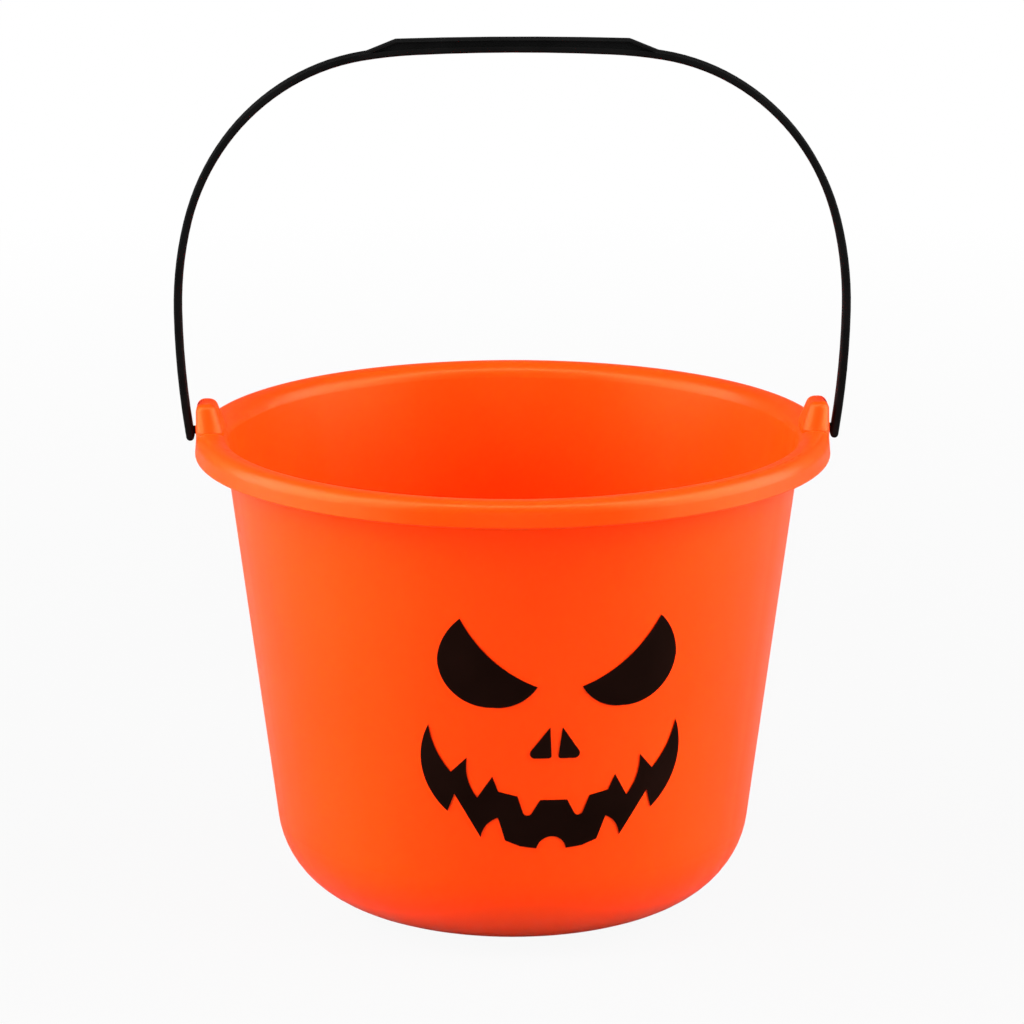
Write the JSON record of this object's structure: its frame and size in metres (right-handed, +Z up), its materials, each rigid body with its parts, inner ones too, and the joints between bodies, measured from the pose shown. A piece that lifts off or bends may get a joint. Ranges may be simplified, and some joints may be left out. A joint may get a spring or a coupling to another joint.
{
  "type": "candy pail",
  "caption": "Tapered round plastic pail with a rolled rim, hollow ears and a swinging bail handle with a raised grip, printed with a grinning pumpkin face.",
  "frame": {"origin": "centre of the foot ring, on the table", "axes": "+Z up along the pail's axis; the bail's pins lie along X; the printed face looks towards -Y, turned a little towards +X"},
  "size_m": [0.244, 0.2304, 0.3174],
  "materials": {
    "pail_plastic": "orange, smooth and glossy, slightly translucent",
    "bail_plastic": "black, low gloss",
    "face_ink": "black printed ink, satin"
  },
  "bodies": {
    "pail": {"pail": "pail_plastic", "left_eye": "face_ink", "right_eye": "face_ink", "left_nostril": "face_ink", "right_nostril": "face_ink", "mouth": "face_ink"},
    "bail": {"bail_handle": "bail_plastic"}
  },
  "joints": [
    {"name": "bail_swing", "type": "hinge", "parent": "pail", "child": "bail", "pos_m": [0, 0, 0.175], "axis": [1, 0, 0], "range_deg": [-136, 136]}
  ]
}
